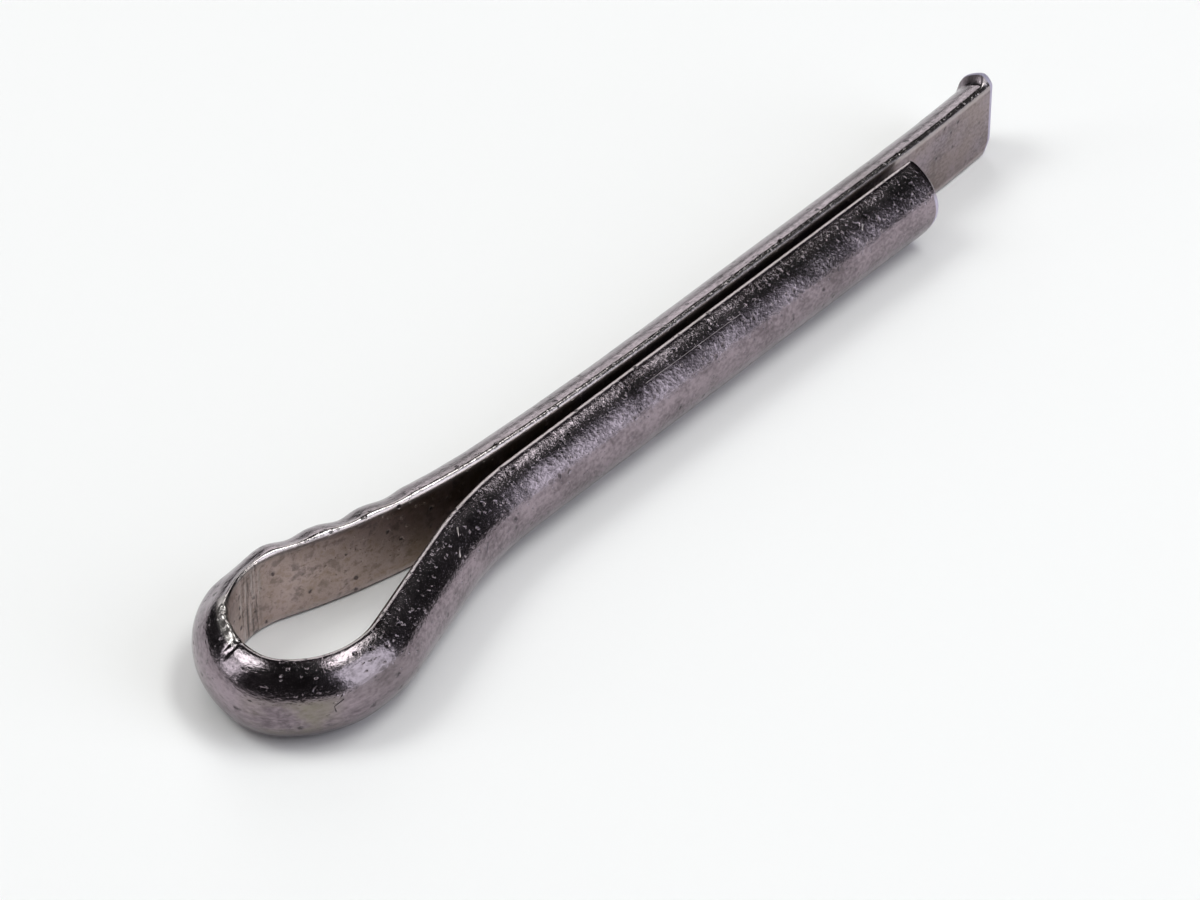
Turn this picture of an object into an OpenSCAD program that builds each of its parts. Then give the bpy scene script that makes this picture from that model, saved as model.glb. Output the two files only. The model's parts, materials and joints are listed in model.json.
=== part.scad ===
// Cotter pin: one length of half-round wire folded back on itself into an eye and two flat-to-flat legs.
// It lies on its side. +X runs along the shank from the eye's shoulder towards the leg ends, +Z is up,
// and the origin is on the shank's axis at the shoulder, where the two legs begin to spread.
// The short leg is on the -Y side and the long leg on the +Y side.

/* [Wire] */
// Radius of the round shank that the two half-round legs make together, mm
shank_radius = 1.45; // [1.3:0.05:1.6]
// Gap between the flat faces of the two legs where they run side by side, mm
leg_gap = 0.28; // [0.1:0.02:0.4]
// Rounding of the two long edges between the flat face and the round face, mm
edge_round = 0.17; // [0.08:0.01:0.3]

/* [Legs] */
// Length of the short leg from the shoulder to its cut end, mm
short_leg = 19; // [14:0.5:26]
// How far the long leg's cut end stands beyond the short leg's, mm
long_leg_extra = 4.9; // [3:0.1:7]
// Radius of the slight outward bend at the long leg's end, on the flat face, mm
end_bend_radius = 87; // [40:1:120]
// Angle of the slight outward bend at the long leg's end, degrees
end_bend_angle = 3.4; // [1:0.2:5]

/* [Eye] */
// Radius of the short leg's outward bend below the eye, on the flat face, mm
short_neck_radius = 14; // [8:0.5:18]
// Angle of the short leg's outward bend below the eye, degrees
short_neck_angle = 17.3; // [15:0.1:20]
// Straight length from the short leg's outward bend to the eye, mm
short_flank = 4.1; // [3.6:0.1:5]
// Inside radius of the eye where it leaves the short leg's side, mm
eye_radius_a = 2.53; // [2.3:0.01:3]
// Angle that this first bend turns through, degrees
eye_angle_a = 72; // [66:1:78]
// Inside radius of the eye's tight corner at its back, mm
eye_radius_b = 1.2; // [1:0.05:1.5]
// Angle that the tight corner turns through, degrees
eye_angle_b = 33; // [28:1:40]
// Inside radius of the eye where it returns to the long leg's side, mm
eye_radius_c = 2.59; // [2.3:0.01:3]
// Straight length from the eye to the long leg's outward bend, mm
long_flank = 0.45; // [0.3:0.01:1.5]
// Angle of the long leg's outward bend below the eye, degrees
long_neck_angle = 18.5; // [15:0.5:20]
// Radius of the gentle bend that brings the long leg parallel to the short one, mm
ease_radius = 140; // [80:1:160]
// Angle of that gentle bend, degrees
ease_angle = 3.2; // [2:0.2:5]

/* [Hidden] */
$fn = 96;

// the round face's centre lies on the shank's axis, half the gap behind the flat face
axis_back = leg_gap / 2;
// each bend is drawn this much fuller than its neighbours and laps this far over them,
// so that the pieces of the wire join into one solid
fuller = 0.01;
lap = 0.05;
// each rounded edge stands this much proud of the faces beside it, so that it crosses them cleanly
edge_proud = 0.005;
// height of the rounded edge's centre, and the point where the edge meets the round face
round_reach = shank_radius - edge_round;
round_height = sqrt(pow(round_reach, 2) - pow(edge_round + axis_back, 2));
touch_depth = shank_radius * (edge_round + axis_back) / round_reach - axis_back;
touch_height = shank_radius * round_height / round_reach;

// Route of the wire's flat face as [x, y, heading], starting at the short leg's end.
// The wire's round face is always on the left of the heading.
function ahead(s, length) =
    [s[0] + length * cos(s[2]), s[1] + length * sin(s[2]), s[2]];
function right_bend(s, radius, angle) =
    [s[0] + radius * (sin(s[2]) - sin(s[2] - angle)),
     s[1] - radius * (cos(s[2]) - cos(s[2] - angle)), s[2] - angle];
function left_bend(s, radius, angle) = right_bend(s, -radius, -angle);

// the eye's last bend turns the wire through whatever brings the long leg parallel to the short one
long_lean = long_neck_angle + ease_angle;
eye_angle_c = 180 + short_neck_angle + long_lean - eye_angle_a - eye_angle_b;

at_short_end = [short_leg, -leg_gap / 2, 180];
at_shoulder = ahead(at_short_end, short_leg);
at_short_flank = left_bend(at_shoulder, short_neck_radius, short_neck_angle);
at_eye_a = ahead(at_short_flank, short_flank);
at_eye_b = right_bend(at_eye_a, eye_radius_a, eye_angle_a);
at_eye_c = right_bend(at_eye_b, eye_radius_b, eye_angle_b);
at_long_flank = right_bend(at_eye_c, eye_radius_c, eye_angle_c);
at_long_neck = ahead(at_long_flank, long_flank);
// the long leg's outward bend takes the radius that lays its flat face the gap away from the short leg's
ease_fall = ease_radius * (1 - cos(ease_angle));
long_neck_radius = (at_long_neck[1] - ease_fall - leg_gap / 2) / (cos(ease_angle) - cos(long_lean));
at_ease = left_bend(at_long_neck, long_neck_radius, long_neck_angle);
at_long_leg = left_bend(at_ease, ease_radius, ease_angle);
long_straight = short_leg + long_leg_extra - end_bend_radius * sin(end_bend_angle)
    - at_long_leg[0];
at_end_bend = ahead(at_long_leg, long_straight);

// The wire's section: x is the depth from the flat face, y the height, drawn fuller by grow all round.
// A round disc is cut off along the flat face and along the lines where the rounded edges take over.
module section(grow = 0) {
    far_depth = 2 * touch_depth + axis_back;
    far_height = 2 * touch_height;
    wide = 3 * shank_radius;
    intersection() {
        translate([-axis_back, 0]) circle(r = shank_radius + grow);
        polygon([
            [-grow, -round_height], [edge_round, -round_height],
            [far_depth, -far_height], [wide, -far_height],
            [wide, far_height], [far_depth, far_height],
            [edge_round, round_height], [-grow, round_height]
        ]);
    }
    for (side = [-1, 1])
        translate([edge_round, side * round_height]) circle(r = edge_round + edge_proud + grow);
}

// straight run of wire from route point s
module straight(s, length) {
    translate([s[0], s[1], 0]) rotate([0, 0, s[2]]) rotate([90, 0, 90])
        linear_extrude(height = length) section();
}

// bend with the round face on the outside
module outer_bend(s, radius, angle, times = 1) {
    over = lap / radius * 180 / PI;
    translate([s[0] + radius * sin(s[2]), s[1] - radius * cos(s[2]), 0])
        rotate([0, 0, s[2] + 90 - angle - over]) rotate_extrude(angle = angle + 2 * over)
            translate([radius, 0]) section(times * fuller);
}

// bend with the round face on the inside
module inner_bend(s, radius, angle, times = 1) {
    over = lap / radius * 180 / PI;
    translate([s[0] - radius * sin(s[2]), s[1] + radius * cos(s[2]), 0])
        rotate([0, 0, s[2] - 90 - over]) rotate_extrude(angle = angle + 2 * over)
            translate([radius, 0]) mirror([1, 0]) section(times * fuller);
}

module pin() {
    color([0.55, 0.53, 0.53]) union() {
        straight(at_short_end, short_leg);
        inner_bend(at_shoulder, short_neck_radius, short_neck_angle);
        straight(at_short_flank, short_flank);
        outer_bend(at_eye_a, eye_radius_a, eye_angle_a);
        outer_bend(at_eye_b, eye_radius_b, eye_angle_b, 2);
        outer_bend(at_eye_c, eye_radius_c, eye_angle_c);
        straight(at_long_flank, long_flank);
        inner_bend(at_long_neck, long_neck_radius, long_neck_angle, 2);
        inner_bend(at_ease, ease_radius, ease_angle);
        straight(at_long_leg, long_straight);
        inner_bend(at_end_bend, end_bend_radius, end_bend_angle);
    }
}

pin();
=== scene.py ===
"""Cotter pin: one length of half-round steel wire, folded into an eye and two flat-to-flat legs.

The wire is swept from its section along the CAD solid's route, then marked as hand tools left it:
eye bends drawn thin, jaw dents, a torn edge, sheared ends. Its finish is worn drawn steel.
"""

import json
import math

import bmesh
import bpy
from mathutils import Matrix, Vector, noise


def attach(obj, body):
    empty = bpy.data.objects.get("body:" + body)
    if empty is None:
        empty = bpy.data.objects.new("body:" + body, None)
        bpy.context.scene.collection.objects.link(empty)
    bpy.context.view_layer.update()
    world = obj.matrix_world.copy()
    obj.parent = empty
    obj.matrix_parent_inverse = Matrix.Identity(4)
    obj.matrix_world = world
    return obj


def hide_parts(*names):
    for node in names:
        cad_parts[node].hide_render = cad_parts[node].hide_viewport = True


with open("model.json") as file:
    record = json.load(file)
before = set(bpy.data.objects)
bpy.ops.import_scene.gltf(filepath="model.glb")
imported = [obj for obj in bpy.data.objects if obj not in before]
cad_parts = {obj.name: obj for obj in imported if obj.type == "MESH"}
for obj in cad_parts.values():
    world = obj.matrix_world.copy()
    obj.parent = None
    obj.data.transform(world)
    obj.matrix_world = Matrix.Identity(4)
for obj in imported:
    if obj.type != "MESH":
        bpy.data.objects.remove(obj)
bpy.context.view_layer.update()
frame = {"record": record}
shank = frame["record"]["mounts"][0]["dims"]

# ---------------------------------------------------------------- sizes, in millimetres
MM = 0.001  # the wire is shaped in millimetres, then brought to the frame's metres

SHANK_RADIUS = shank["r_mm"]
SHORT_LEG = shank["length_mm"]
LEG_GAP = 0.28
EDGE_ROUND = 0.17  # rounding of the wire's two long edges
LONG_LEG_EXTRA = 4.9  # how far the long leg's cut end stands beyond the short one's
END_BEND = (87, 3.4)  # each bend is its flat face's radius and its angle in degrees
SHORT_NECK = (14, 17.3)
SHORT_FLANK = 4.1
EYE_A, EYE_B = (2.53, 72), (1.2, 33)
EYE_C_RADIUS = 2.59
LONG_FLANK = 0.45
LONG_NECK_ANGLE = 18.5
EASE = (140, 3.2)

AXIS_BACK = LEG_GAP / 2  # the round face's centre lies this far behind the flat face
END_ROUND = 0.14  # rounded rim of each cut end
END_STEPS = 4

RING_GAP, STRAIGHT_RING_GAP = 0.085, 0.17  # spacing of the mesh's rings along the wire
LEAST_RINGS = 2  # on a stretch, however short
ROUND_STEPS, EDGE_STEPS, FLAT_STEPS = 44, 4, 20  # steps round the section
MERGE_GAP = 1e-4  # points nearer than this are one


# ---------------------------------------------------------------- the wire's route
def run(length):
    """A straight stretch."""
    return {"length": length, "radius": 0, "side": 0}


def bend(radius, angle, side):
    """A bent stretch: side is 1 where the wire turns left, towards its round face, and -1 where right."""
    return {"length": radius * math.radians(angle), "radius": radius, "side": side}


def after(place, stretch, length):
    """Where the flat face's line stands this far into a stretch: x, y and its heading in radians."""
    x, y, heading = place
    side, radius = stretch["side"], stretch["radius"]
    if not side:
        return x + length * math.cos(heading), y + length * math.sin(heading), heading
    turned = heading + side * length / radius
    across = side * radius * (math.sin(turned) - math.sin(heading))
    up = side * radius * (math.cos(heading) - math.cos(turned))
    return x + across, y + up, turned


def end_of(place, stretches):
    """Where the flat face's line stands after these stretches."""
    for stretch in stretches:
        place = after(place, stretch, stretch["length"])
    return place


def wire_route():
    """Every stretch from the short leg's end to the long leg's end, short of both rounded rims."""
    lean = LONG_NECK_ANGLE + EASE[1]
    eye_c_angle = 180 + SHORT_NECK[1] + lean - EYE_A[1] - EYE_B[1]
    route = [
        run(SHORT_LEG - END_ROUND), bend(*SHORT_NECK, 1), run(SHORT_FLANK),
        bend(*EYE_A, -1), bend(*EYE_B, -1), bend(EYE_C_RADIUS, eye_c_angle, -1),
        run(LONG_FLANK),
    ]
    # the long neck takes the radius that lays the long leg's flat face the gap away from the short one's
    stands = end_of(SHORT_END, route)[1] - AXIS_BACK
    ease_fall = EASE[0] * (1 - math.cos(math.radians(EASE[1])))
    drop = math.cos(math.radians(EASE[1])) - math.cos(math.radians(lean))
    route += [bend((stands - ease_fall) / drop, LONG_NECK_ANGLE, 1), bend(*EASE, 1)]
    end_x = SHORT_LEG + LONG_LEG_EXTRA - END_BEND[0] * math.sin(math.radians(END_BEND[1]))
    route += [run(end_x - END_ROUND - end_of(SHORT_END, route)[0]), bend(*END_BEND, 1)]
    return route


SHORT_END = (SHORT_LEG - END_ROUND, -AXIS_BACK, math.pi)
ROUTE = wire_route()
# how far along the wire each stretch starts, counted from the short leg's cut end
STARTS = [END_ROUND + sum(stretch["length"] for stretch in ROUTE[:i]) for i in range(len(ROUTE) + 1)]
EYE_START, EYE_END, LONG_END = STARTS[3], STARTS[6], STARTS[-1] + END_ROUND


# ---------------------------------------------------------------- sweeping the wire
def swept(bm, geom, kind, **move):
    """Spins or carries a row of points or edges and gives back its last copy."""
    result = bmesh.ops.spin(bm, geom=geom, axis=(0, 0, 1), **move)
    return [item for item in result["geom_last"] if isinstance(item, kind)]


def draw_section(bm, unbent):
    """Draws the half-round outline with one point: x is the depth from the flat face, y the height."""
    reach = SHANK_RADIUS - EDGE_ROUND
    height = math.sqrt(reach**2 - (EDGE_ROUND + AXIS_BACK) ** 2)
    touch = math.atan2(height, EDGE_ROUND + AXIS_BACK)
    start = (SHANK_RADIUS * math.cos(touch) - AXIS_BACK, SHANK_RADIUS * math.sin(touch), 0)
    tip = [bm.verts.new(start)]
    sides = (
        ((-AXIS_BACK, 0, 0), -2 * touch, 0, ROUND_STEPS),
        ((EDGE_ROUND, -height, 0), touch - math.pi, 0, EDGE_STEPS),
        ((0, 0, 0), 0, 2 * height / FLAT_STEPS, FLAT_STEPS),
        ((EDGE_ROUND, height, 0), touch - math.pi, 0, EDGE_STEPS),
    )
    for centre, angle, rise, steps in sides:
        move = dict(cent=centre, dvec=(0, rise, 0), angle=angle, steps=steps)
        tip = swept(bm, tip, bmesh.types.BMVert, **move)
    bmesh.ops.remove_doubles(bm, verts=bm.verts, dist=MERGE_GAP)
    for vert in bm.verts:
        vert[unbent] = (STARTS[0], vert.co.x, vert.co.y)


def stand_up(bm):
    """Stands the drawn section across the wire's start, its depth towards the round side."""
    x, y, heading = SHORT_END
    lift = Matrix(((0, 0, 1, 0), (1, 0, 0, 0), (0, 1, 0, 0), (0, 0, 0, 1)))
    place = Matrix.Translation((x, y, 0)) @ Matrix.Rotation(heading, 4, "Z")
    bmesh.ops.transform(bm, matrix=place @ lift, verts=bm.verts)


def sweep(bm, unbent, heading_at):
    """Carries the section along the route and notes how far along and on what heading each point is."""
    ring = list(bm.edges)
    first, place = list(ring), SHORT_END
    for vert in bm.verts:
        vert[heading_at] = place[2]
    for start, stretch in zip(STARTS, ROUTE):
        side, radius, length = stretch["side"], stretch["radius"], stretch["length"]
        steps = max(LEAST_RINGS, round(length / (RING_GAP if side else STRAIGHT_RING_GAP)))
        x, y, heading = place
        before = len(bm.verts)
        if side:
            centre = Vector((x - side * radius * math.sin(heading), y + side * radius * math.cos(heading)))
            move = dict(cent=centre.to_3d(), angle=side * length / radius)
        else:
            step = length / steps
            move = dict(dvec=(step * math.cos(heading), step * math.sin(heading), 0), angle=0)
        ring = swept(bm, ring, bmesh.types.BMEdge, steps=steps, **move)
        bm.verts.ensure_lookup_table()
        for vert in bm.verts[before:]:
            if side:
                arm = vert.co.xy - centre
                turn = side * (math.atan2(arm.y, arm.x) - math.atan2(y - centre.y, x - centre.x))
                gone = radius * (turn % math.tau)
                vert[heading_at] = heading + side * gone / radius
            else:
                gone = (vert.co.x - x) * math.cos(heading) + (vert.co.y - y) * math.sin(heading)
                vert[heading_at] = heading
            vert[unbent] = (start + gone, vert[unbent].y, vert[unbent].z)
        place = after(place, stretch, length)
    return first, ring


def close_end(bm, ring, unbent, along, way):
    """Closes one cut end with a face and rounds its rim."""
    cap = bmesh.ops.contextual_create(bm, geom=ring)["faces"]
    bmesh.ops.recalc_face_normals(bm, faces=bm.faces)
    for i in range(END_STEPS):
        low, high = (math.pi / 2 * j / END_STEPS for j in (i, i + 1))
        inward = END_ROUND * (math.cos(low) - math.cos(high))
        outward = END_ROUND * (math.sin(high) - math.sin(low))
        bmesh.ops.inset_region(bm, faces=cap, thickness=inward, depth=outward, use_even_offset=True)
        for vert in cap[0].verts:
            vert[unbent] = (along + way * END_ROUND * math.sin(high), vert[unbent].y, vert[unbent].z)


# ---------------------------------------------------------------- marks of the tools
# Places along the wire count from the short leg's cut end. A SIDE is a pair of angles round the section,
# in degrees, 0 at the middle of the round face and 90 at its upper edge: a mark starts at the first of
# them and is full at the second.
ROUND_FACE_DEPTH = 0.35  # marks on the round face fade in over this depth from the flat face
JAW_DENTS = ((35.42, 0.08), (36.89, 0.12), (38.68, 0.11), (40.38, 0.07))  # place and depth of each
JAW_DENT_REACH = 0.82  # from a dent's middle to its crests
JAW_DENT_SIDE = (-40, 10)
EYE_DRAW = 0.8595  # the bends of the eye keep this share of the wire's depth
EYE_DRAW_LEAD, EYE_DRAW_RAMP = 0.45, 1.3  # how far outside the bends it starts, and its rise
EYE_FLAT, EYE_FLAT_SIDE = (34.5, 1.4, 0.17), (15, 50)  # a flattened patch: its middle, reach and depth
TORN_EDGE, TORN_SIDE = (31.95, 34.0), (67, 75)  # the eye's upper edge, torn by the bending tool
TORN_FADE_IN, TORN_FADE_OUT = 0.15, 0.5
TORN_EDGE_DEPTH = 0.05
TORN_STAND, TORN_RAGGED, TORN_SCALE = 0.045, 0.13, (5.5, 4, 2)  # its mean stand and how that varies
NICK_AT, NICK_REACH, NICK_DEPTH, NICK_SIDE = 31.88, 0.1, 0.12, (45, 65)
CUT_RIM = 0.24  # how far from each cut end the painted violet-white glint reaches
FLARE_REACH, FLARE_STAND, FLARE_SIDE = 0.55, 0.24, (5, 50)  # the long leg's end, spread by the shear
FLARE_RAMP = 0.7  # share of its reach over which the flare rises
CORNER_REACH, CORNER_BACK = 0.9, 0.3  # the long leg's end, its lower corner worn back
CORNER_HEIGHTS = (-0.8, -1.4)
ROLL_REACH, ROLL_BACK, ROLL_SIDE = 1.3, 0.42, (5, -55)  # the short leg's end, rolled back by the shear
WAVES, WAVES_SCALE = 0.012, (0.7, 1, 1)  # slow unevenness of hand-bent wire
RIPPLES, RIPPLES_SCALE = 0.0042, (2.6, 3, 3)  # and the quicker unevenness on it


def fade(x, start, full):
    """Smooth step from 0 at the start to 1 where it is full, which may lie below the start."""
    share = min(max((x - start) / (full - start), 0), 1)
    return share * share * (3 - 2 * share)


def hump(x, middle, reach):
    """Smooth rise and fall of height 1, reach to each side of the middle."""
    return 0.5 + 0.5 * math.cos(math.pi * min(abs(x - middle) / reach, 1))


def uneven(place, scale):
    """Smooth noise over the straight wire, between about -1 and 1."""
    return noise.noise(Vector(a * b for a, b in zip(place, scale)))


def marks(place):
    """Moves of a point on the wire's skin: along the wire, out from its axis and out from the flat face."""
    along, depth, height = place
    angle = math.degrees(math.atan2(height, depth + AXIS_BACK))
    round_face = fade(depth, 0, ROUND_FACE_DEPTH)
    forward = outward = 0

    # the eye: its bends drawn thin, its jaw dents and flattened patch
    draw_start, draw_end = EYE_START - EYE_DRAW_LEAD, EYE_END + EYE_DRAW_LEAD
    drawn = fade(along, draw_start, draw_start + EYE_DRAW_RAMP)
    drawn *= fade(along, draw_end, draw_end - EYE_DRAW_RAMP)
    lift = -(1 - EYE_DRAW) * depth * drawn
    gripped = fade(angle, *JAW_DENT_SIDE) * round_face
    for middle, dent in JAW_DENTS:
        outward -= dent * hump(along, middle, JAW_DENT_REACH) * gripped
    middle, reach, dent = EYE_FLAT
    outward -= dent * hump(along, middle, reach) * fade(angle, *EYE_FLAT_SIDE) * round_face

    # the torn edge and its nick
    tear_start, tear_end = TORN_EDGE
    torn = fade(along, tear_start, tear_start + TORN_FADE_IN)
    torn *= fade(along, tear_end, tear_end - TORN_FADE_OUT)
    torn *= fade(angle, *TORN_SIDE) * fade(depth, 0, TORN_EDGE_DEPTH)
    outward += torn * (TORN_STAND + TORN_RAGGED * uneven(place, TORN_SCALE))
    outward -= NICK_DEPTH * hump(along, NICK_AT, NICK_REACH) * fade(angle, *NICK_SIDE)

    # the cut ends: the long leg's spread and worn at its corner, the short leg's rolled back
    flare_start = LONG_END - FLARE_REACH
    flare = fade(along, flare_start, flare_start + FLARE_RAMP * FLARE_REACH)
    outward += FLARE_STAND * flare * round_face * fade(angle, *FLARE_SIDE)
    worn_corner = fade(height, *CORNER_HEIGHTS) * fade(along, LONG_END - CORNER_REACH, LONG_END)
    forward -= CORNER_BACK * worn_corner
    forward += ROLL_BACK * fade(angle, *ROLL_SIDE) * round_face * fade(along, ROLL_REACH, 0)

    outward += WAVES * uneven(place, WAVES_SCALE) * round_face
    outward += RIPPLES * uneven(place, RIPPLES_SCALE)
    return forward, outward, lift


def work_wire(bm, unbent, heading_at):
    """Moves every point of the swept wire as its marks say."""
    for vert in bm.verts:
        _, depth, height = vert[unbent]
        forward, outward, lift = marks(vert[unbent])
        heading = vert[heading_at]
        ahead = Vector((math.cos(heading), math.sin(heading), 0))
        away = Vector((-ahead.y, ahead.x, 0))
        spoke = Vector((depth + AXIS_BACK, height)).normalized()
        vert.co += ahead * forward + away * (lift + outward * spoke.x)
        vert.co.z += outward * spoke.y


def wire():
    """The whole pin as one closed mesh, with each point's place on the straight wire kept on it."""
    bm = bmesh.new()
    unbent = bm.verts.layers.float_vector.new("unbent")
    heading_at = bm.verts.layers.float.new("heading")
    draw_section(bm, unbent)
    stand_up(bm)
    first, last = sweep(bm, unbent, heading_at)
    close_end(bm, first, unbent, STARTS[0], -1)
    close_end(bm, last, unbent, STARTS[-1], 1)
    work_wire(bm, unbent, heading_at)
    bmesh.ops.recalc_face_normals(bm, faces=bm.faces)
    for face in bm.faces:
        face.smooth = True
    bmesh.ops.scale(bm, vec=(MM, MM, MM), verts=bm.verts)
    mesh = bpy.data.meshes.new("pin_wire")
    bm.to_mesh(mesh)
    bm.free()
    return mesh


# ---------------------------------------------------------------- finishes
# Colours are linear. Patterns and zones read each point's place on the straight wire, in millimetres:
# along it from the short leg's cut end, its depth from the flat face and its height.
STEEL_DARK, STEEL_LIGHT = (0.14, 0.114, 0.127), (0.305, 0.252, 0.28)
# painted highlight: a lighter steel laid along both long edges as a sheen, where the rounded edges catch
# the light; the same colour marks real bright wear in the rubbed streaks and bright scratches
EDGE_SHEEN_AND_WORN_STEEL = (0.58, 0.52, 0.51)
# partly the flats' own tan, partly a painted reflection: lighter on the flats by the eye, standing for the
# floor they mirror there, partly shaded by the near leg
FLAT_TAN_AND_REFLECTION = (0.58, 0.46, 0.43)
# painted highlight: a violet-white glint on the rims of both cut ends, standing for light caught at the rim
CUT_RIM_GLINT = (0.62, 0.57, 0.7)
TORN_STEEL = (0.66, 0.6, 0.58)
GRIME = (0.1, 0.088, 0.085)
STAIN = (0.25, 0.185, 0.12)
OLIVE = (0.2, 0.185, 0.135)
PIT = (0.05, 0.04, 0.045)
PAPER_DIM, PAPER_PALE = (0.885, 0.86, 0.865), (0.925, 0.9, 0.9)
PAPER_ROUGHNESS, PAPER_SPECULAR = 0.9, 0.1
PAPER_CLOUD_SCALE, PAPER_CLOUD_DETAIL = 6.0, 3.0

# clouded patterns: how close they run each way of the wire (below 1 draws them out), their scale,
# detail and roughness
PATTERNS = {
    "cloud": ((1, 1, 1), 0.3, 2.0, 0.5),
    "stain": ((1, 1, 1), 0.8, 3.0, 0.5),
    "mottle": ((1, 1, 1), 0.9, 4.0, 0.6),
    "blotch": ((1, 1, 1), 2.4, 4.0, 0.65),
    "grain": ((0.75, 1, 1), 8.5, 2.0, 0.6),
    "fine": ((1, 1, 1), 24.0, 2.0, 0.5),
    "die_line": ((0.035, 1, 1), 7.0, 3.0, 0.6),
    "rub": ((3.6, 1, 0.25), 2.2, 3.0, 0.7),
}
# scattered spots: their scale, their radius and the share of the cells that hold one
SPOTS = {"pit": (2.6, 0.27, 0.35), "fleck": (6.0, 0.34, 0.26), "speck": (13.0, 0.38, 0.5)}
SPOT_CORE = 0.3  # share of a spot's radius that is full
SWIRL_SCALE, SWIRL_DETAIL, SWIRL_REACH = 9.0, 2.0, 0.16  # the warp that keeps spots from being round

# zones of the wire: each is the product of its fades, from 0 at the first value to 1 at the second
FLAT_FACE = ("depth", 0.05, 0.01)
LONG_GLINT_START = LONG_END - CUT_RIM
ZONES = {
    "flat": (FLAT_FACE,),
    # the long edges, where the painted sheen goes
    "edge": (("depth", 0.24, 0.1), ("height_either_way", 1.12, 1.24)),
    "eye_flat": (FLAT_FACE, ("along", 32.0, 34.0), ("along", 48.0, 46.0)),
    "fold": (("along", 37.5, 43.5), ("along", 66.0, 50.0)),
    "under_eye": (("along", 28.9, 29.7), ("along", 31.3, 30.5), ("depth", 0.95, 1.2),
                  ("height", 0.75, 0.4)),
    "torn": (("along", TORN_EDGE[0] - 0.1, TORN_EDGE[0] + 0.1),
             ("along", TORN_EDGE[1], TORN_EDGE[1] - 0.2), ("height", 1.29, 1.36)),
    # rims of the cut ends, where the painted glint goes; on the short leg's end only its lower part
    "short_rim": (("along", 0.004, 0.054), ("along", CUT_RIM, CUT_RIM - 0.05), ("height", 0.75, 0.4)),
    "long_rim": (("along", LONG_GLINT_START, LONG_GLINT_START + 0.05), ("along", LONG_END - 0.004, LONG_END - 0.054)),
    "rubbed": (("along", 34.5, 34.75), ("along", 35.7, 35.45), FLAT_FACE),
    "spread": (("along", LONG_END - FLARE_REACH, LONG_END - FLARE_REACH / 2), ("depth", 0.05, 0.2)),
}
STAIN_ON_FLAT, STAIN_IN_FOLD = 0.3, 0.65  # share of the stain everywhere on the flat, and more in the fold

# what makes the steel lighter, by how much, and the values at which it is darkest and lightest
TONE, TONE_SPAN = {"grain": 0.5, "mottle": 0.5, "die_line": 0.15}, (0.4, 0.7)
# tints laid over the steel in turn: the colour, its share, what it keeps to, and the pattern that breaks
# it up, with the pattern's values where the tint starts and where it is full
TINTS = (
    (GRIME, 0.35, None, ("cloud", 0.52, 0.72)),
    # the flats by the eye: their tan, and a painted reflection of the floor
    (FLAT_TAN_AND_REFLECTION, 0.75, "eye_flat", None),
    (GRIME, 0.6, "eye_flat", ("tone", 0.55, 0.42)),
    (GRIME, 0.5, "eye_flat", ("blotch", 0.5, 0.36)),
    (STAIN, 0.4, "eye_flat", ("blotch", 0.52, 0.66)),
    (STAIN, 1.0, "stained_flat", ("stain", 0.25, 0.7)),
    (OLIVE, 0.7, "under_eye", ("mottle", 0.35, 0.6)),
    # painted highlight: sheen along both long edges
    (EDGE_SHEEN_AND_WORN_STEEL, 0.45, "edge", None),
    (PIT, 0.8, "pit", None),
    (TORN_STEEL, 0.7, "torn", None),
    # painted highlight: glint on the cut ends' rims
    (CUT_RIM_GLINT, 0.9, "cut", None),
    (EDGE_SHEEN_AND_WORN_STEEL, 0.8, "rubbed", ("rub", 0.5, 0.62)),
    (GRIME, 0.8, "rubbed", ("rub", 0.48, 0.36)),
)
# how far each pattern raises the skin, in millimetres
RISES = {
    "grain": 0.0085, "fine": 0.0012, "die_line": 0.002, "mottle": 0.006,
    "pit": -0.02, "fleck": 0.016, "speck": 0.0022, "rubbed_streak": 0.05,
}
# the steel's least roughness, and what each pattern or zone adds to it
LEAST_ROUGHNESS = 0.12
ROUGHNESS = {"mottle": 0.14, "flat": 0.16, "torn": 0.12, "cut": 0.4, "spread": 0.25}

# scratches: the two ends on the straight wire, the half width, and how bright
SCRATCHES = (
    ((22.5, 0.5, 1.3), (23.3, 0.95, 0.95), 0.035, 1.0),
    ((3.3, 0.8, 1.1), (3.8, 1.05, 0.8), 0.025, 0.8),
    ((9.2, 0.75, 1.15), (13.6, 0.72, 1.17), 0.012, 0.35),
    ((29.12, 1.24, 0.43), (29.33, 1.27, 0.28), 0.022, -1.0),
    ((29.33, 1.27, 0.28), (29.3, 1.31, 0.09), 0.022, -1.0),
    ((21.9, 1.2, 0.55), (22.1, 1.27, 0.35), 0.04, -0.8),
)
SCRATCH_CORE = 0.2  # share of a scratch's half width that is full
SCRATCH_RISE, SCRATCH_ROUGHNESS = -0.012, 0.2


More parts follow.
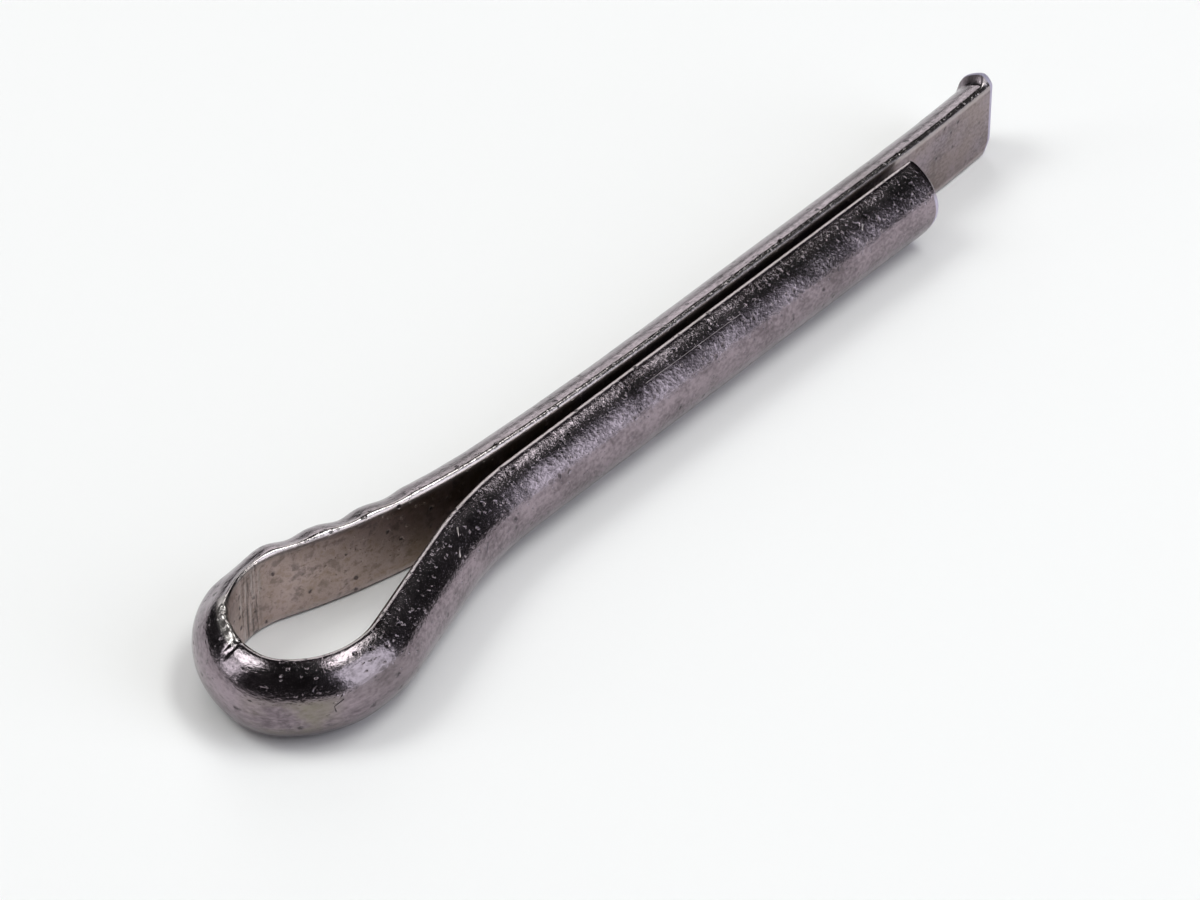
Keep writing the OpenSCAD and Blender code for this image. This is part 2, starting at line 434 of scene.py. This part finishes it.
class Finish:
    """A material's node tree, with short ways to add to it."""

    def __init__(self, name):
        self.material = bpy.data.materials.new(name)
        self.material.use_nodes = True
        self.tree = self.material.node_tree
        self.shader = self.tree.nodes["Principled BSDF"]

    def join(self, value, socket):
        """Links another node's output to a socket, or sets the socket to a plain value."""
        if isinstance(value, bpy.types.NodeSocket):
            self.tree.links.new(value, socket)
        else:
            socket.default_value = value

    def add(self, kind, inputs, output=0, **settings):
        """Adds a node, its settings, then its inputs by number or name; gives one of its outputs."""
        node = self.tree.nodes.new("ShaderNode" + kind)
        for name, value in settings.items():
            setattr(node, name, value)
        for name, value in inputs.items():
            self.join(value, node.inputs[name])
        return node.outputs[output]

    def calc(self, operation, a, b=0.0, c=0.0, clamp=False):
        """One sum on up to three values."""
        return self.add("Math", {0: a, 1: b, 2: c}, operation=operation, use_clamp=clamp)

    def times(self, *factors):
        """The product of these values."""
        product = factors[0]
        for factor in factors[1:]:
            product = self.calc("MULTIPLY", product, factor)
        return product

    def total(self, start, shares, masks):
        """The start value with each named mask's share added to it."""
        for name, share in shares.items():
            start = self.calc("MULTIPLY_ADD", masks[name], share, start)
        return start

    def fade(self, value, start, full):
        """Smooth step from 0 at the start to 1 where it is full, which may lie below the start."""
        low, high = sorted((start, full))
        at_low, at_high = (0.0, 1.0) if start < full else (1.0, 0.0)
        inputs = {"Value": value, 1: low, 2: high, 3: at_low, 4: at_high}
        return self.add("MapRange", inputs, interpolation_type="SMOOTHSTEP")

    def cloud(self, vector, closeness, scale, detail, roughness):
        """Clouded noise over the vector, run closer or drawn out each way."""
        spaced = self.add("VectorMath", {0: vector, 1: closeness}, operation="MULTIPLY")
        inputs = {"Vector": spaced, "Scale": scale, "Detail": detail, "Roughness": roughness}
        return self.add("TexNoise", inputs)

    def spots(self, vector, scale, radius, share):
        """Scattered spots, in this share of the cells: 1 in a spot's middle, 0 outside it."""
        cells = self.add("TexVoronoi", {"Vector": vector, "Scale": scale}).node
        chosen = self.add("SeparateColor", {0: cells.outputs["Color"]})
        inside = self.fade(cells.outputs["Distance"], radius, SPOT_CORE * radius)
        return self.times(inside, self.calc("LESS_THAN", chosen, share))

    def line(self, place, start, end, half_width):
        """1 on a straight scratch between two places, 0 off it."""
        start, end = Vector(start), Vector(end)
        run = end - start
        from_start = self.add("VectorMath", {0: place, 1: start}, operation="SUBTRACT")
        dot = self.add("VectorMath", {0: from_start, 1: run}, output="Value", operation="DOT_PRODUCT")
        share = self.calc("DIVIDE", dot, run.length_squared, clamp=True)
        foot = self.add("VectorMath", {0: run, "Scale": share}, operation="SCALE")
        gap = self.add("VectorMath", {0: from_start, 1: foot}, output="Value", operation="DISTANCE")
        return self.fade(gap, half_width, SCRATCH_CORE * half_width)

    def mix(self, share, below, above):
        """Lays this share of the colour above over the one below."""
        inputs = {0: share, 6: (*below, 1) if isinstance(below, tuple) else below}
        inputs[7] = (*above, 1) if isinstance(above, tuple) else above
        return self.add("Mix", inputs, output=2, data_type="RGBA")


def zone_masks(finish, place):
    """How strongly each zone of the wire holds at a point, from 0 to 1."""
    along, depth, height = finish.add("SeparateXYZ", {0: place}).node.outputs
    ways = {"along": along, "depth": depth, "height": height}
    ways["height_either_way"] = finish.calc("ABSOLUTE", height)
    masks = {}
    for zone, fades in ZONES.items():
        masks[zone] = finish.times(*(finish.fade(ways[way], *ends) for way, *ends in fades))
    # the cut rims: where the painted glint goes, and rougher
    masks["cut"] = finish.calc("ADD", masks["short_rim"], masks["long_rim"], clamp=True)
    stained = finish.calc("MULTIPLY_ADD", masks["fold"], STAIN_IN_FOLD, STAIN_ON_FLAT)
    masks["stained_flat"] = finish.times(masks["flat"], stained)
    return masks


def pattern_masks(finish, place):
    """The steel's clouded patterns, and its scattered spots made crooked by a swirl."""
    masks = {name: finish.cloud(place, *pattern) for name, pattern in PATTERNS.items()}
    swirl_inputs = {"Vector": place, "Scale": SWIRL_SCALE, "Detail": SWIRL_DETAIL}
    swirl = finish.add("TexNoise", swirl_inputs, output="Color")
    warp = {0: swirl, 1: (SWIRL_REACH,) * 3, 2: place}
    crooked = finish.add("VectorMath", warp, operation="MULTIPLY_ADD")
    for name, spot in SPOTS.items():
        masks[name] = finish.spots(crooked, *spot)
    masks["tone"] = finish.total(0.0, TONE, masks)
    return masks


def steel():
    """Drawn steel, worn: mottled and pitted, with die lines along it, stained inside the fold; with a
    painted sheen along its long edges, a painted glint on its cut rims and a painted reflection on the
    flats by the eye.
    """
    finish = Finish("drawn_steel")
    place = finish.add("Attribute", {}, output="Vector", attribute_name="unbent")
    masks = zone_masks(finish, place) | pattern_masks(finish, place)
    # streaks across the inner flat, where a tool held the eye
    masks["rubbed_streak"] = finish.times(masks["rub"], masks["rubbed"])

    colour = finish.mix(finish.fade(masks["tone"], *TONE_SPAN), STEEL_DARK, STEEL_LIGHT)
    for tint, share, kept_to, broken_by in TINTS:
        factors = [masks[kept_to]] if kept_to else []
        if broken_by:
            pattern, start, full = broken_by
            factors.append(finish.fade(masks[pattern], start, full))
        colour = finish.mix(finish.times(*factors, share), colour, tint)
    rise = finish.total(0.0, RISES, masks)
    rough = finish.total(LEAST_ROUGHNESS, ROUGHNESS, masks)
    for start, end, half_width, bright in SCRATCHES:
        scratch = finish.line(place, start, end, half_width)
        tint = EDGE_SHEEN_AND_WORN_STEEL if bright > 0 else PIT
        colour = finish.mix(finish.times(scratch, abs(bright)), colour, tint)
        rise = finish.calc("MULTIPLY_ADD", scratch, SCRATCH_RISE, rise)
        rough = finish.calc("MULTIPLY_ADD", scratch, SCRATCH_ROUGHNESS, rough)

    bump = finish.add("Bump", {"Height": finish.times(rise, MM), "Distance": 1.0, "Strength": 1.0})
    finish.join(colour, finish.shader.inputs["Base Color"])
    finish.join(rough, finish.shader.inputs["Roughness"])
    finish.join(bump, finish.shader.inputs["Normal"])
    finish.shader.inputs["Metallic"].default_value = 1.0
    return finish.material


def paper():
    """Matt white paper, faintly uneven."""
    finish = Finish("white_paper")
    place = finish.add("TexCoord", {}, output="Object")
    inputs = {"Vector": place, "Scale": PAPER_CLOUD_SCALE, "Detail": PAPER_CLOUD_DETAIL}
    cloud = finish.add("TexNoise", inputs)
    finish.join(finish.mix(cloud, PAPER_DIM, PAPER_PALE), finish.shader.inputs["Base Color"])
    finish.shader.inputs["Roughness"].default_value = PAPER_ROUGHNESS
    finish.shader.inputs["Specular IOR Level"].default_value = PAPER_SPECULAR
    return finish.material


# ---------------------------------------------------------------- the pin
pin = bpy.data.objects.new("pin_wire", wire())
bpy.context.scene.collection.objects.link(pin)
pin.data.materials.append(steel())
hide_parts("pin")
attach(pin, "root")


# ---------------------------------------------------------------- floor, light and camera
FLOOR_HALF = 1.5
WORLD_PALE, WORLD_DIM = 0.9, 0.02  # as seen, and as it lights and mirrors
# soft boxes, all at one distance: azimuth and elevation of the way to them, width and height, power
# and colour; the wash overhead is white, stands further off and isn't mirrored
SOFT_BOX_DISTANCE = 0.36
SOFT_BOXES = {
    "front_right_box": ((-72, 25), (0.24, 0.32), 0.57, (0.89, 0.95, 1.02)),
    "back_left_box": ((125, 54), (0.14, 0.16), 0.37, (0.95, 1.01, 0.98)),
    "back_left_low_box": ((138, 22), (0.1, 0.2), 0.14, (0.95, 0.99, 1.0)),
    "back_low_box": ((50, 26), (0.15, 0.26), 0.21, (0.96, 0.99, 0.97)),
    "top_back_box": ((-38, 67), (0.21, 0.08), 0.38, (0.95, 1.01, 0.98)),
}
OVERHEAD_WASH = ((0, 90), (1.4, 1.4), 4.9, (1, 1, 1))
OVERHEAD_DISTANCE = 0.9
VIEW_HEADING, VIEW_DIP, VIEW_ROLL = 41.245, 41.099, -0.14
VIEW_CENTRE, VIEW_DISTANCE = (3.166, -0.952, 0), 178.51  # the point looked at, in millimetres
VIEW_LENS, VIEW_NEAREST = 177.0, 0.01  # nothing nearer than the second, in metres, is drawn


def pointing(azimuth, elevation):
    """The unit vector at this azimuth and elevation, in degrees."""
    round_by, up_by = math.radians(azimuth), math.radians(elevation)
    level = math.cos(up_by)
    return Vector((math.cos(round_by) * level, math.sin(round_by) * level, math.sin(up_by)))


def add_floor():
    """Lays white paper under the pin's lowest point."""
    bm = bmesh.new()
    bmesh.ops.create_grid(bm, x_segments=1, y_segments=1, size=FLOOR_HALF)
    lowest = min(vert.co.z for vert in pin.data.vertices)
    bmesh.ops.translate(bm, vec=(0, 0, lowest), verts=bm.verts)
    mesh = bpy.data.meshes.new("floor")
    bm.to_mesh(mesh)
    bm.free()
    floor = bpy.data.objects.new("floor", mesh)
    bpy.context.scene.collection.objects.link(floor)
    floor.data.materials.append(paper())


def add_soft_box(name, distance, mirrored, way, size, power, colour):
    """Stands a rectangle of light this way and far from the origin, facing it."""
    light = bpy.data.lights.new(name, "AREA")
    light.shape = "RECTANGLE"
    light.size, light.size_y = size
    light.energy = power
    light.color = colour
    box = bpy.data.objects.new(name, light)
    box.location = pointing(*way) * distance
    box.rotation_euler = box.location.to_track_quat("Z", "Y").to_euler()
    box.visible_glossy = mirrored
    bpy.context.scene.collection.objects.link(box)


def add_world():
    """Pale behind everything, but dim as it lights the pin and is mirrored in it."""
    world = bpy.data.worlds.new("studio")
    world.use_nodes = True
    tree = world.node_tree
    seen = tree.nodes.new("ShaderNodeLightPath").outputs["Is Camera Ray"]
    strength = tree.nodes.new("ShaderNodeMapRange")
    strength.inputs["To Min"].default_value = WORLD_DIM
    strength.inputs["To Max"].default_value = WORLD_PALE
    tree.links.new(seen, strength.inputs["Value"])
    tree.links.new(strength.outputs["Result"], tree.nodes["Background"].inputs["Strength"])
    tree.nodes["Background"].inputs["Color"].default_value = (1, 1, 1, 1)
    bpy.context.scene.world = world


def add_camera():
    """Looks down along the pin from its eye's end, on the short leg's side."""
    camera = bpy.data.objects.new("camera", bpy.data.cameras.new("camera"))
    camera.data.lens = VIEW_LENS
    camera.data.clip_start = VIEW_NEAREST
    looking = pointing(VIEW_HEADING, -VIEW_DIP)
    camera.location = (Vector(VIEW_CENTRE) - looking * VIEW_DISTANCE) * MM
    level = looking.to_track_quat("-Z", "Y").to_matrix()
    roll = Matrix.Rotation(math.radians(VIEW_ROLL), 3, "Z")
    camera.rotation_euler = (level @ roll).to_euler()
    bpy.context.scene.collection.objects.link(camera)
    bpy.context.scene.camera = camera


add_floor()
for box_name, box_plan in SOFT_BOXES.items():
    add_soft_box(box_name, SOFT_BOX_DISTANCE, True, *box_plan)
add_soft_box("overhead_wash", OVERHEAD_DISTANCE, False, *OVERHEAD_WASH)
add_world()
add_camera()
bpy.context.scene.view_settings.view_transform = "Standard"
